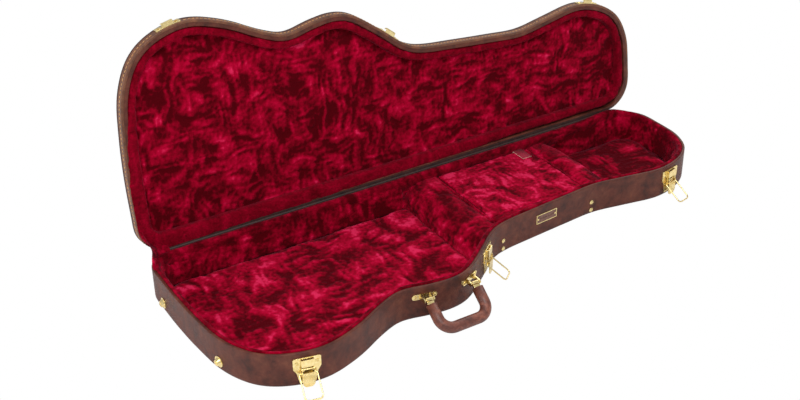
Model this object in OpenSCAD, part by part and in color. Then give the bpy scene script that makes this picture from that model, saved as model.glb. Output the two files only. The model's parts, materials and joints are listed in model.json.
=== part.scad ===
// Hard case for a solid-body guitar, lying on its bottom with the lid open.
// Origin: middle of the footprint, on the floor. +X towards the headstock end,
// +Y towards the lid hinges, +Z up. Millimetres.

/* [Case] */
// overall length along the hinge side
case_length = 1050; // [950:1:1100]
// overall width, hinge side to the lower bout
case_width = 374; // [340:1:420]
// height of the bottom half, floor to rim
base_height = 62; // [55:1:75]
// depth of the lid from rim to its top face
lid_depth = 26; // [22:1:35]
// how far the lid stands open from closed, degrees
lid_open = 98; // [90:1:105]
// bent plywood wall with its covering
wall = 4.5; // [4:0.1:6]
// leather-look vinyl covering
skin = 0.8; // [0.6:0.1:1.2]
// plywood board in the bottom and in the lid
board = 4; // [3:0.5:6]
// corner radius at the hinge side, lower-bout end
corner_body = 46; // [30:1:60]
// corner radius at the hinge side, headstock end
corner_head = 60; // [40:1:80]

/* [Lining] */
// flat band round the lid's mouth, outer face to lining
lid_band = 11.5; // [9:0.5:14]
// height of the padded beds above the floor
bed_top = 10; // [8:0.5:16]
// height of the neck block's padded top above the floor
block_top = 50; // [40:1:56]
// width of the flat padded border in the lid
border = 15; // [10:1:20]

/* [Compartment] */
// body-side partition, distance from mid-length
partition_body = 45; // [20:1:80]
// headstock-side partition, distance from mid-length
partition_head = 257; // [220:1:290]
// partition board thickness
partition_board = 6; // [4:0.5:9]

/* [Hardware] */
// latch positions along the length: lower bout, waist, headstock
latch_x = [-414, -15, 428]; // [-500:1:500]
// latch plate width
latch_width = 44; // [36:1:50]
// wire bail length, pivot to end wire
bail_length = 42; // [36:1:46]
// wire bail radius
wire = 1.2; // [1:0.1:1.6]
// handle bracket positions along the length
bracket_x = [-174, -85]; // [-220:1:-40]
// height of the handle pivot above the floor
handle_z = 44; // [38:1:50]
// handle drop, pivot line to grip centreline
handle_drop = 56; // [45:1:60]
// handle grip radius
grip_r = 9.5; // [8:0.5:12]
// hinge positions along the length
hinge_x = [-380, -130, 130, 380]; // [-450:1:450]

/* [Hidden] */

kx = case_length / 1050;
ky = case_width / 374;
back = case_width / 2;
half = case_length / 2;
steps = 3;
axis_y = back + 2.6;
axis_z = base_height + 0.25;
inset = wall + 4.5;
tiny = 0.01;

// The contour as [along the length, distance from the hinge side], from the
// lower-bout end, along the handle side, to the headstock end.
contour = [[-525, 60], [-525, 130], [-521, 204], [-511, 275], [-484, 331], [-439, 363],
    [-380, 374], [-316, 357], [-255, 327], [-212, 313.5], [-163, 322.5], [-120, 326.5],
    [-82, 316], [-31, 280], [12, 246], [51, 231], [120, 223.5], [200, 216.5], [265, 212.5],
    [330, 223], [400, 233.5], [459, 220], [500, 190], [521, 145], [525, 100]];
ends = concat([[-525, 20]], contour, [[525, 60]]);

function cr(a, b, c, d, t) = 0.5 * (2 * b + (c - a) * t + (2 * a - 5 * b + 4 * c - d) * t * t
    + (3 * b - a - 3 * c + d) * t * t * t);
side = concat(
    [for (i = [1 : len(ends) - 3], k = [0 : steps - 1])
        cr(ends[i - 1], ends[i], ends[i + 1], ends[i + 2], k / steps)],
    [contour[len(contour) - 1]]);
front_pts = [for (p = side) [p[0] * kx, back - p[1] * ky]];
arc_body = [for (a = [90 : 15 : 180])
    [-half + corner_body + corner_body * cos(a), back - corner_body + corner_body * sin(a)]];
arc_head = [for (a = [0 : 15 : 90])
    [half - corner_head + corner_head * cos(a), back - corner_head + corner_head * sin(a)]];
outline = concat(arc_body, front_pts, arc_head);
count = len(outline);

function unit(v) = v / norm(v);
function inward(i) = let (a = outline[(i + count - 1) % count], b = outline[i],
    c = outline[(i + 1) % count], u = unit(b - a), w = unit(c - b), m = unit(u + w))
    [-m[1], m[0]] / (m * w);
function at(i, s) = outline[i] + inward(i) * s;
function ring(s) = [for (i = [0 : count - 1]) at(i, s)];

// prism of the contour moved inwards by s
module region(s, z0, z1) {
    translate([0, 0, z0]) linear_extrude(z1 - z0) polygon(ring(s));
}

// wall between two offsets of the contour
module shell(s0, s1, z0, z1) {
    difference() {
        region(s0, z0, z1);
        region(s1, z0 - 1, z1 + 1);
    }
}

// profile of [inward, up] points, counter-clockwise, carried round the contour
module band(profile, first = 0, last = -1) {
    closed = last < 0;
    n = closed ? count : last - first + 1;
    m = len(profile);
    pts = [for (i = [0 : n - 1], q = profile)
        let (p = at((first + i) % count, q[0])) [p[0], p[1], q[1]]];
    sides = [for (i = [0 : (closed ? n : n - 1) - 1], j = [0 : m - 1])
        let (a = i * m + j, b = i * m + (j + 1) % m,
            d = ((i + 1) % n) * m + j, c = ((i + 1) % n) * m + (j + 1) % m)
        each [[a, d, c], [a, c, b]]];
    caps = closed ? [] : [[for (j = [0 : m - 1]) j],
        [for (j = [0 : m - 1]) (n - 1) * m + m - 1 - j]];
    polyhedron(pts, concat(sides, caps));
}

// wall height and angle along the handle side
depth_at = [for (i = [9 : len(front_pts) - 10]) front_pts[i]];
function wall_y(x) = lookup(x, depth_at);
function wall_turn(x) = atan((wall_y(x + 12) - wall_y(x - 12)) / 24);

// a frame on the handle side: X along the wall, -Y outwards
module on_wall(x, z = 0) {
    translate([x, wall_y(x), z]) rotate([0, 0, wall_turn(x)]) children();
}

// extrude a flat [along, up] shape outwards from n0 to n1
module plate(n0, n1) {
    translate([0, -n0, 0]) rotate([90, 0, 0]) linear_extrude(n1 - n0) children();
}

// a bar along X
module bar(x0, x1, n, z, r) {
    translate([x0, -n, z]) rotate([0, 90, 0]) cylinder(h = x1 - x0, r = r, $fn = 32);
}

module opened() {
    translate([0, axis_y, axis_z]) rotate([-lid_open, 0, 0])
        translate([0, -axis_y, -axis_z]) children();
}

// ---------- bottom half ----------
edge_r = 7;
function round_out(h, s0) = [for (a = [0 : 22.5 : 90])
    [edge_r - (edge_r - s0) * cos(a), h - edge_r + (edge_r - s0) * sin(a)]];
function flip(p, h) = [for (i = [len(p) - 1 : -1 : 0]) [p[i][0], h - p[i][1]]];

// wrap profile of a shell of height h, rim at 0
function wrap_profile(h) = concat([[0, 0], [wall, 0], [wall, skin], [skin, skin]],
    round_out(h, skin), [for (i = [4 : -1 : 0]) round_out(h, 0)[i]]);
function frame_profile(h) = concat([[skin, skin], [wall, skin], [wall, h - skin - board],
    [edge_r, h - skin - board]], [for (i = [4 : -1 : 0]) round_out(h, skin)[i]]);

// the bent strips of each wall meet at these points of the contour
front_first = len(arc_body);
front_last = front_first + len(front_pts) - 1;
front_joint = front_first + 14 * steps;

module base_board() {
    color("BurlyWood") region(edge_r, skin, skin + board);
}

module base_frame_body() {
    color("BurlyWood")
        band(flip(frame_profile(base_height), base_height), front_first, front_joint);
}

module base_frame_neck() {
    color("BurlyWood")
        band(flip(frame_profile(base_height), base_height), front_joint, front_last);
}

module base_frame_back() {
    color("BurlyWood")
        band(flip(frame_profile(base_height), base_height), front_last, count + front_first);
}

module base_vinyl_wrap() {
    color("SaddleBrown") band(flip(wrap_profile(base_height), base_height));
}

module base_vinyl_sheet() {
    color("SaddleBrown") region(edge_r, 0, skin);
}

floor_z = skin + board;
// height of the pile band along the rim
valance_height = 22;

module wall_lining() {
    color("Crimson") difference() {
        region(wall, floor_z, base_height - valance_height);
        region(wall + 4.5, floor_z - 1, base_height);
        // the boards' ends are glued and riveted straight to the wall
        for (x = [partition_body, partition_head])
            translate([x - partition_board / 2, -back - 5, floor_z - 1])
                cube([partition_board, case_width + 10, base_height]);
    }
}

module valance() {
    color("Crimson") band([[wall, base_height - valance_height],
        [inset, base_height - valance_height],
        [inset, base_height - 1.6], [inset - 1, base_height - 0.4],
        [inset - 2.5, base_height], [wall + 0.6, base_height], [wall, base_height - 0.6]]);
}

// contour indices where the body well's and headstock well's lining starts and ends
arc_n = len(arc_body);
function side_index(i) = arc_n + i * steps;
bolster = [[inset, floor_z], [inset + 17, floor_z], [inset + 15, bed_top + 4],
    [inset + 2.5, base_height - 3], [inset, base_height - 2]];

module body_bolster() {
    color("Crimson") {
        band(bolster, 1, side_index(12));
        translate([-half + corner_body, back, 0]) rotate([90, 0, 90])
            linear_extrude(430) polygon([for (q = bolster) [-q[0], q[1]]]);
    }
}

module body_bed() {
    color("Crimson") intersection() {
        region(inset + 17, floor_z, bed_top);
        translate([-half, -back, 0]) cube([half - 36, case_width, 50]);
    }
}

// a cushion across the case, [along, up] points
module across(points) {
    intersection() {
        region(inset, floor_z, base_height);
        translate([0, back, 0]) rotate([90, 0, 0]) linear_extrude(case_width) polygon(points);
    }
}

pb0 = partition_body - partition_board / 2;
pb1 = partition_body + partition_board / 2;
ph0 = partition_head - partition_board / 2;
ph1 = partition_head + partition_board / 2;
box_front = back - 190;
flap_z = block_top - 6;
box_back = back - 13;

module heel_wedge() {
    color("Crimson") across([[-34, floor_z], [pb0, floor_z], [pb0, block_top],
        [14, block_top], [2, block_top - 2], [-6, block_top - 8], [-30, bed_top + 3]]);
}

module head_wedge() {
    color("Crimson") across([[ph1, floor_z], [334, floor_z], [330, bed_top + 3],
        [306, block_top - 10], [296, block_top - 3], [284, block_top], [ph1, block_top]]);
}

module partition_boards() {
    color("BurlyWood") intersection() {
        union() {
            region(wall, floor_z, base_height - valance_height);
            region(inset, floor_z, block_top - 5);
        }
        for (x = [pb0, ph0])
            translate([x, -back, 0]) cube([partition_board, case_width, base_height]);
    }
}

module compartment_floor() {
    color("Crimson") intersection() {
        region(inset, floor_z, floor_z + 3);
        translate([pb1, -back, 0]) cube([ph0 - pb1, case_width, 50]);
    }
}

// strips on the boards that the flap comes down on
module flap_cleats() {
    color("BurlyWood") for (x = [pb1, ph0 - 8])
        translate([x, box_front + 10, flap_z - 9.4]) cube([8, 150, 9]);
}

module block_front_pad() {
    color("Crimson") intersection() {
        region(inset, 42, block_top);
        translate([pb1, -back, 0]) cube([ph0 - pb1, box_front + back, 60]);
    }
}

module block_back_pad() {
    color("Crimson") intersection() {
        region(inset, 42, block_top);
        translate([pb1, box_back, 0]) cube([ph0 - pb1, 60, 60]);
    }
}

module headstock_bed() {
    color("Crimson") intersection() {
        region(inset + 17, floor_z, bed_top + 2);
        translate([336, -back, 0]) cube([half, case_width, 50]);
    }
}

module headstock_bolster() {
    color("Crimson") union() {
        band(bolster, side_index(20), count - 1);
        translate([336, back, 0]) rotate([90, 0, 90])
            linear_extrude(half - corner_head - 336) polygon([for (q = bolster) [-q[0], q[1]]]);
    }
}

lid_x0 = pb1 + 1;
lid_x1 = ph0 - 1;
lid_y0 = box_front + 0.6;
lid_y1 = box_back - 2.5;

module compartment_tape() {
    color("DarkRed") translate([lid_x0, box_front - 12, block_top + 0.02])
        cube([lid_x1 - lid_x0, 12, 1]);
}

module compartment_lid_board() {
    color("BurlyWood") translate([lid_x0, lid_y0, flap_z])
        cube([lid_x1 - lid_x0, lid_y1 - lid_y0, 3]);
}

module compartment_lid_plush() {
    color("Crimson") translate([lid_x0, lid_y0, flap_z + 3])
        cube([lid_x1 - lid_x0, lid_y1 - lid_y0, block_top - flap_z - 2.2]);
}

tab_x = 222;

module pull_tab() {
    color("Sienna") {
        // tongue under the board, up round its back edge, then forwards over the top
        translate([tab_x, lid_y1 - 22, flap_z - 1.2]) cube([20, 22, 1.2]);
        translate([tab_x, lid_y1, flap_z - 1.2]) cube([20, 1.2, block_top - flap_z + 3.2]);
        translate([tab_x, lid_y1 - 33, block_top + 0.8]) cube([20, 33, 1.2]);
    }
}

// ---------- lid hinges ----------
module hinge_set(x, knuckles, up) {
    s = up ? 1 : -1;
    difference() {
        union() {
            // leaf flat on the wall
            translate([x - 20, back, up ? axis_z + 2.7 : axis_z - 18])
                cube([40, 1.2, 15.3]);
            for (k = knuckles) {
                translate([x + k[0], axis_y, axis_z]) rotate([0, 90, 0])
                    cylinder(h = k[1] - k[0], r = 2.2, $fn = 32);
                translate([x + k[0], back + 0.4, up ? axis_z : axis_z - 3])
                    cube([k[1] - k[0], 1.4, 3]);
            }
        }
        translate([x - 25, axis_y, axis_z]) rotate([0, 90, 0])
            cylinder(h = 50, r = up ? 1.16 : 1.1, $fn = 32);
    }
}

module hinge_leaves_base() {
    color("Gold") for (x = hinge_x) hinge_set(x, [[-20, -7], [7, 20]], false);
}

module hinge_pins() {
    color("Gold") for (x = hinge_x)
        translate([x - 20.6, axis_y, axis_z]) rotate([0, 90, 0])
            cylinder(h = 41.2, r = 1.1, $fn = 32);
}

module hinge_leaves_lid() {
    color("Gold") opened() for (x = hinge_x) hinge_set(x, [[-6.5, 6.5]], true);
}

module back_rivet(x, z) {
    translate([x, back + 1.2, z]) rotate([-90, 0, 0]) difference() {
        translate([0, 0, -1.6]) sphere(r = 2.9, $fn = 24);
        translate([-5, -5, -6]) cube([10, 10, 6]);
    }
}

module hinge_rivets_base() {
    color("Gold") for (x = hinge_x, k = [-12, 12]) back_rivet(x + k, axis_z - 11);
}

module hinge_rivets_lid() {
    color("Gold") opened() for (x = hinge_x, k = [-12, 12]) back_rivet(x + k, axis_z + 11);
}

// ---------- latches ----------
lever_n = 5;
lever_z = 34;
bail_n = 4.5;
bail_z = 26;
bail_w = 14;
bail_dip = asin((bail_z - wire - 0.2) / bail_length);
w2 = latch_width / 2;

module latch_shape() {
    polygon([[-w2, 34], [-w2 + 5, 26], [-w2 + 9, 7], [w2 - 9, 7], [w2 - 5, 26], [w2, 34],
        [w2, 51], [w2 - 2, 53], [-w2 + 2, 53], [-w2, 51]]);
}

module latch_plate_one() {
    difference() {
        union() {
            plate(-6, 1.2) latch_shape();
            // raised housing with its slot
            difference() {
                plate(1.2, 7) translate([-10, 39]) square([20, 13]);
                plate(2.6, 5.4) translate([-8, 44]) square([16, 10]);
            }
            // cheeks that carry the lever pin
            for (x = [-8, 6.4]) translate([x + 1.6, 0, 0]) rotate([0, -90, 0])
                linear_extrude(1.6) polygon([[lever_z - 3, 1.2 - 1.2], [lever_z - 3, -lever_n],
                    [lever_z - 2, -lever_n - 2.3], [lever_z + 2, -lever_n - 2.3],
                    [lever_z + 3.4, -lever_n], [lever_z + 3.4, 0]]);
        }
        bar(-15, 15, lever_n, lever_z, 1.2);
        for (x = [-16, 16]) plate(-8, 3) translate([x, 44]) circle(r = 1.6, $fn = 24);
    }
}

module latch_plates() {
    color("Gold") difference() {
        for (x = latch_x) on_wall(x) latch_plate_one();
        region(0, -5, 100);
    }
}

module latch_pins() {
    color("Gold") for (x = latch_x) on_wall(x) bar(-10.6, 10.6, lever_n, lever_z, 1.2);
}

module screw(r = 3, n = 1.2) {
    // domed head with a cross recess on a shank, pointing inwards
    translate([0, -n, 0]) rotate([90, 0, 0]) difference() {
        intersection() {
            translate([0, 0, 1.5 - 2 * r]) sphere(r = 2 * r, $fn = 32);
            cylinder(h = 3, r = r, $fn = 32);
        }
        for (a = [0, 90]) rotate([0, 0, a]) translate([-r * 0.6, -0.35, 0.8])
            cube([r * 1.2, 0.7, 3]);
    }
    translate([0, -n, 0]) rotate([-90, 0, 0]) cylinder(h = n + 3.5, r = 1.6, $fn = 24);
}

module latch_screws() {
    color("Gold") for (x = latch_x, k = [-16, 16]) on_wall(x) translate([k, 0, 44]) screw(2.8);
}

module lever_one() {
    difference() {
        union() {
            plate(7.4, 8.8) {
                translate([-10, 12]) square([20, 17]);
                translate([0, 12]) intersection() {
                    circle(r = 10, $fn = 48);
                    translate([-10, -9]) square([20, 9.5]);
                }
            }
            for (x = [-10, 8.6]) {
                translate([x, -lever_n, lever_z]) rotate([0, 90, 0])
                    cylinder(h = 1.4, r = 3, $fn = 32);
                translate([x, -8.8, 22]) cube([1.4, 6.6, 10]);
            }
        }
        bar(-15, 15, lever_n, lever_z, 1.26);
        bar(-15, 15, bail_n, bail_z, wire + 0.06);
    }
}

// the bail drawn straight out from its pivot, then dipped to the floor
module bail_one() {
    r = 6;
    translate([0, -bail_n, bail_z]) rotate([bail_dip, 0, 0]) {
        for (s = [-1, 1]) {
            translate([s * bail_w, -2.4, 0]) rotate([90, 0, 0])
                cylinder(h = bail_length - r - 2.4, r = wire, $fn = 24);
            translate([s > 0 ? 8.2 : -bail_w + 2.4, 0, 0]) rotate([0, 90, 0])
                cylinder(h = bail_w - 2.4 - 8.2, r = wire, $fn = 24);
            translate([s * (bail_w - 2.4), -2.4, 0])
                mirror([s > 0 ? 0 : 1, 0, 0])
                rotate_extrude(angle = 90, $fn = 32) translate([2.4, 0]) circle(r = wire, $fn = 24);
            translate([s * (bail_w - r), -bail_length + r, 0])
                mirror([s > 0 ? 0 : 1, 0, 0]) rotate([0, 0, -90])
                rotate_extrude(angle = 90, $fn = 32) translate([r, 0]) circle(r = wire, $fn = 24);
        }
        translate([-bail_w + r, -bail_length, 0]) rotate([0, 90, 0])
            cylinder(h = 2 * (bail_w - r), r = wire, $fn = 24);
    }
}

module latch_lever_body() { color("Gold") on_wall(latch_x[0]) lever_one(); }
module latch_lever_waist() { color("Gold") on_wall(latch_x[1]) lever_one(); }
module latch_lever_head() { color("Gold") on_wall(latch_x[2]) lever_one(); }
module latch_bail_body() { color("Gold") on_wall(latch_x[0]) bail_one(); }
module latch_bail_waist() { color("Gold") on_wall(latch_x[1]) bail_one(); }
module latch_bail_head() { color("Gold") on_wall(latch_x[2]) bail_one(); }

catch_z = base_height + 3;

module catch_one() {
    difference() {
        union() {
            plate(-6, 1.2) translate([-w2, catch_z]) square([latch_width, 13]);
            // hook: a shelf out from the plate with a lip turned up
            translate([-10, 0, 0]) rotate([0, -90, 180]) linear_extrude(20)
                polygon([[catch_z, 0], [catch_z, 6.5], [catch_z + 2, 8.4],
                    [catch_z + 8.5, 7], [catch_z + 8.5, 5.6], [catch_z + 2.6, 6.4],
                    [catch_z + 1.6, 5.6], [catch_z + 1.6, 0]]);
        }
        for (x = [-16, 16]) plate(-8, 3) translate([x, catch_z + 6.5]) circle(r = 1.6, $fn = 24);
    }
}

module lid_catches() {
    color("Gold") opened() difference() {
        for (x = latch_x) on_wall(x) catch_one();
        region(0, 0, 120);
    }
}

module catch_screws() {
    color("Gold") opened() for (x = latch_x, k = [-16, 16])
        on_wall(x) translate([k, 0, catch_z + 6.5]) screw(2.8);
}

// ---------- handle ----------
handle_y = back - 334 * ky;
handle_mid = (bracket_x[0] + bracket_x[1]) / 2;
reach = (bracket_x[1] - bracket_x[0]) / 2;
handle_dip = asin((handle_z - grip_r - 0.2) / handle_drop);

module bracket_one(x) {
    on_wall(x, handle_z) plate(-6, 1.6) {
        translate([-17, -5]) square([34, 10]);
        for (s = [-17, 17]) translate([s, 0]) circle(r = 5, $fn = 32);
    }
    // cheeks and the bar the handle hangs on
    for (s = [-9.6, 7.4]) translate([x + s, handle_y, handle_z]) {
        rotate([0, 90, 0]) cylinder(h = 2.2, r = 3.6, $fn = 32);
        translate([0, 0, -3.6]) cube([2.2, 40, 7.2]);
    }
    translate([x - 8, handle_y, handle_z]) rotate([0, 90, 0]) cylinder(h = 16, r = 2, $fn = 32);
}

module handle_brackets() {
    color("Gold") difference() {
        for (x = bracket_x) bracket_one(x);
        region(0, -5, 100);
        for (x = bracket_x, k = [-17, 17]) on_wall(x, handle_z)
            plate(-8, 3) translate([k, 0]) circle(r = 1.6, $fn = 24);
    }
}

module handle_screws() {
    color("Gold") for (x = bracket_x, k = [-17, 17])
        on_wall(x, handle_z) translate([k, 0, 0]) screw(3.4, 1.6);
}

// the handle drawn straight out from its pivot line, then dipped to the floor
module handle_path(r) {
    bend = 22;
    for (s = [-1, 1]) {
        translate([s * reach, -9, 0]) rotate([90, 0, 0])
            cylinder(h = handle_drop - bend - 9, r = r, $fn = 48);
        translate([s * (reach - bend), -handle_drop + bend, 0])
            mirror([s > 0 ? 0 : 1, 0, 0]) rotate([0, 0, -90])
            rotate_extrude(angle = 90, $fn = 48) translate([bend, 0]) circle(r = r, $fn = 48);
    }
    translate([-reach + bend, -handle_drop, 0]) rotate([0, 90, 0])
        cylinder(h = 2 * (reach - bend), r = r, $fn = 48);
}

module handle_place() {
    translate([handle_mid, handle_y, handle_z]) rotate([handle_dip, 0, 0]) children();
}

module handle_core() {
    color("DimGray") handle_place() handle_path(4);
}

module handle_wrap() {
    color("Sienna") handle_place() difference() {
        handle_path(grip_r);
        handle_path(4);
    }
}

module handle_eyes() {
    color("Gold") handle_place() for (s = [-1, 1]) translate([s * reach - 6, 0, 0]) difference() {
        union() {
            rotate([0, 90, 0]) cylinder(h = 12, r = 4, $fn = 32);
            translate([0, -9, -2]) cube([12, 8, 4]);
        }
        translate([-1, 0, 0]) rotate([0, 90, 0]) cylinder(h = 14, r = 2.06, $fn = 32);
    }
}

// ---------- small brass parts on the bottom half ----------
foot_at = [[79, 19], [268, 18]];
left_pts = [for (i = [0 : 6 * steps]) [back - front_pts[i][1], front_pts[i][0]]];
function end_x(d) = lookup(d, left_pts);
function end_turn(d) = atan((end_x(d + 10) - end_x(d - 10)) / 20);

module end_foot(d, z) {
    translate([end_x(d), back - d, z]) rotate([0, 0, -90 + end_turn(d)]) children();
}

module end_feet() {
    color("Gold") difference() {
        for (f = foot_at) end_foot(f[0], f[1]) {
            rotate([90, 0, 0]) cylinder(h = 1.4, r = 9.5, $fn = 48);
            rotate([-90, 0, 0]) cylinder(h = 4, r = 9.5, $fn = 48);
            translate([0, -1.4, 0]) rotate([90, 0, 0])
                cylinder(h = 5, r1 = 7.5, r2 = 5, $fn = 48);
        }
        region(0, -5, 100);
        for (f = foot_at) end_foot(f[0], f[1]) rotate([90, 0, 0])
            translate([0, 0, -8]) cylinder(h = 20, r = 1.6, $fn = 24);
    }
}

module end_foot_screws() {
    color("Gold") for (f = foot_at) end_foot(f[0], f[1]) screw(3, 6.4);
}

module partition_rivets() {
    color("Gold") difference() {
        for (x = [partition_body, partition_head], z = [10, 26])
            on_wall(x, z) {
                plate(-6, 0.6) circle(r = 4.2, $fn = 32);
                translate([0, 2.6, 0]) rotate([90, 0, 0]) difference() {
                    sphere(r = 5, $fn = 32);
                    translate([0, 0, -10]) cube([20, 20, 26], center = true);
                }
            }
        region(0, -5, 100);
    }
}

badge_x = 147;
badge_z = 37;

module badge_plate() {
    color("Gold") difference() {
        on_wall(badge_x, badge_z) difference() {
            plate(-4, 1) translate([-24, -9]) square([48, 18]);
            plate(0.6, 2) translate([-22.5, -7.5]) square([45, 15]);
        }
        region(0, -5, 100);
        on_wall(badge_x, badge_z) for (k = [-20, 20]) translate([k, 0, 0])
            plate(-6, 2) circle(r = 1.1, $fn = 24);
    }
}

module badge_pins() {
    color("Gold") on_wall(badge_x, badge_z) for (k = [-20, 20]) translate([k, 0, 0]) {
        plate(-3, 0.6) circle(r = 1.1, $fn = 24);
        plate(0.6, 1.1) circle(r = 1.8, $fn = 24);
    }
}

// ---------- lid, drawn closed and then opened ----------
lid_z = base_height + 0.5;
function raised(p) = [for (q = p) [q[0], q[1] + lid_z]];
lid_top = lid_z + lid_depth;
lid_in = lid_top - skin - board;

module lid_frame_front() {
    color("BurlyWood") opened()
        band(raised(frame_profile(lid_depth)), front_first, front_last);
}

module lid_frame_back() {
    color("BurlyWood") opened()
        band(raised(frame_profile(lid_depth)), front_last, count + front_first);
}

module lid_vinyl_wrap() {
    color("SaddleBrown") opened() band(raised(wrap_profile(lid_depth)));
}

module lid_vinyl_sheet() {
    color("SaddleBrown") opened() region(edge_r, lid_top - skin, lid_top);
}

module lid_board() {
    color("BurlyWood") opened() region(edge_r, lid_in, lid_top - skin);
}

module lid_piping() {
    z = lid_top - edge_r - 0.6;
    color("SaddleBrown") opened() band([[-1.4, z - 0.7], [-0.7, z - 1.4], [0, z - 1.4],
        [0, z + 1.4], [-0.7, z + 1.4], [-1.4, z + 0.7]], 1, count - 2);
}

// flat covered strip inside the lid's wall, flush with its mouth
rim_profile = [[wall, lid_z], [lid_band, lid_z], [lid_band, lid_in], [wall, lid_in]];

module lid_rim_front() {
    color("SaddleBrown") opened() band(rim_profile, front_first, front_last);
}

module lid_rim_back() {
    color("SaddleBrown") opened() band(rim_profile, front_last, count + front_first);
}

module lid_border_pad() {
    color("Crimson") opened() shell(lid_band, lid_band + border, lid_z + 1.5, lid_in);
}

module lid_panel_pad() {
    color("Crimson") opened() region(lid_band + border, lid_in - 5, lid_in);
}

base_board();
base_frame_body();
base_frame_neck();
base_frame_back();
base_vinyl_wrap();
base_vinyl_sheet();
wall_lining();
valance();
body_bolster();
body_bed();
heel_wedge();
partition_boards();
compartment_floor();
flap_cleats();
block_front_pad();
block_back_pad();
head_wedge();
headstock_bed();
headstock_bolster();
compartment_tape();
compartment_lid_board();
compartment_lid_plush();
pull_tab();
hinge_leaves_base();
hinge_pins();
hinge_rivets_base();
latch_plates();
latch_pins();
latch_screws();
handle_brackets();
handle_screws();
end_feet();
end_foot_screws();
partition_rivets();
badge_plate();
badge_pins();
lid_frame_front();
lid_frame_back();
lid_board();
lid_vinyl_wrap();
lid_vinyl_sheet();
lid_piping();
lid_rim_front();
lid_rim_back();
lid_border_pad();
lid_panel_pad();
hinge_leaves_lid();
hinge_rivets_lid();
lid_catches();
catch_screws();
latch_lever_body();
latch_bail_body();
latch_lever_waist();
latch_bail_waist();
latch_lever_head();
latch_bail_head();
handle_core();
handle_wrap();
handle_eyes();
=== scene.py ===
"""Looks of a contoured guitar case that lies open: vinyl shell, crushed plush lining,
brass hardware, leather handle. Metres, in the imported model's own frame."""

import json
import math

import bmesh
import bpy
import numpy as np
from mathutils import Matrix, Vector, noise


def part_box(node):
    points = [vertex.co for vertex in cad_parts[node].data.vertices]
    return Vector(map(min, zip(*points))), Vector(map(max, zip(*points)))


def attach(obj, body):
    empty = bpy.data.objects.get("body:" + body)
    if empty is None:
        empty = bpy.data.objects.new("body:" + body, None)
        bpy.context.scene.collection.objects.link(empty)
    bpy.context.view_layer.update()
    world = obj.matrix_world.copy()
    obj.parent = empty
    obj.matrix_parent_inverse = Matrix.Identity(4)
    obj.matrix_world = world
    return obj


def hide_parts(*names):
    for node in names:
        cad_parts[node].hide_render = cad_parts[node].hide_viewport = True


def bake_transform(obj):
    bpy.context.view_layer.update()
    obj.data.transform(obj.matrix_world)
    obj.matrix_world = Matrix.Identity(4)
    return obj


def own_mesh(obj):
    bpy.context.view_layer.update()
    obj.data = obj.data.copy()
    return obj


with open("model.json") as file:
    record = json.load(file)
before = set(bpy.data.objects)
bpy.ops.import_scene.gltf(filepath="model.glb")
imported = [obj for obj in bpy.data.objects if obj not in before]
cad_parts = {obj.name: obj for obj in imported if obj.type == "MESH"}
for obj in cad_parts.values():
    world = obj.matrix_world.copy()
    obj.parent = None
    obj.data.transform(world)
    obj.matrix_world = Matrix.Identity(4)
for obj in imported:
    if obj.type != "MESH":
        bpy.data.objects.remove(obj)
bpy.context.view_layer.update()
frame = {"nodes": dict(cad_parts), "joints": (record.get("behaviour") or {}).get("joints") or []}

MM = 0.001
JOINTS = {j["name"]: j for j in frame["joints"]}
# noise.noise_vector is offset by a draw that the clock seeds until a script does
PILE_SEED = 1794955152
noise.seed_set(PILE_SEED)

# ---------------------------------------------------------------- places from the frame
LID_AXIS = Vector(JOINTS["lid_hinge"]["pos_m"])
LID_OPEN = -math.radians(min(JOINTS["lid_hinge"]["range_deg"]))
OPENED = (
    Matrix.Translation(LID_AXIS)
    @ Matrix.Rotation(-LID_OPEN, 4, "X")
    @ Matrix.Translation(-LID_AXIS)
)
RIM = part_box("base_vinyl_wrap")[1].z
WALL = 4.5 * MM
EDGE = 7 * MM
SHEET = 4.8 * MM
LID_BAND = 11.5 * MM
LID_BORDER = 15 * MM
closed_lid = [OPENED.inverted() @ v.co for v in frame["nodes"]["lid_vinyl_wrap"].data.vertices]
LID_Z = min(v.z for v in closed_lid)
LID_TOP = max(v.z for v in closed_lid)


# ---------------------------------------------------------------- camera, lights, floor
def make_camera():
    """Three-quarter view from the handle side, turned towards the lower bout."""
    azimuth, elevation, roll = (math.radians(a) for a in (-31.09, 30.62, -0.83))
    back = Vector((
        math.sin(azimuth) * math.cos(elevation),
        -math.cos(azimuth) * math.cos(elevation),
        math.sin(elevation),
    ))
    level = Vector((math.cos(azimuth), math.sin(azimuth), 0))
    above = back.cross(level)
    right = level * math.cos(roll) + above * math.sin(roll)
    up = back.cross(right)
    data = bpy.data.cameras.new("camera")
    data.lens = 56.24
    data.sensor_width = 36
    camera = bpy.data.objects.new("camera", data)
    bpy.context.scene.collection.objects.link(camera)
    camera.location = (-1.05784, -1.52718, 1.19972)
    camera.rotation_mode = "QUATERNION"
    camera.rotation_quaternion = Matrix((right, up, back)).transposed().to_quaternion()
    bpy.context.scene.camera = camera


def area_light(name, place, target, size, power):
    """A white rectangular light at place that faces target."""
    data = bpy.data.lights.new(name, "AREA")
    data.shape = "RECTANGLE"
    data.size, data.size_y = size
    data.energy = power
    light = bpy.data.objects.new(name, data)
    bpy.context.scene.collection.objects.link(light)
    light.location = place
    light.rotation_mode = "QUATERNION"
    light.rotation_quaternion = (Vector(target) - Vector(place)).to_track_quat("-Z", "Y")


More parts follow.
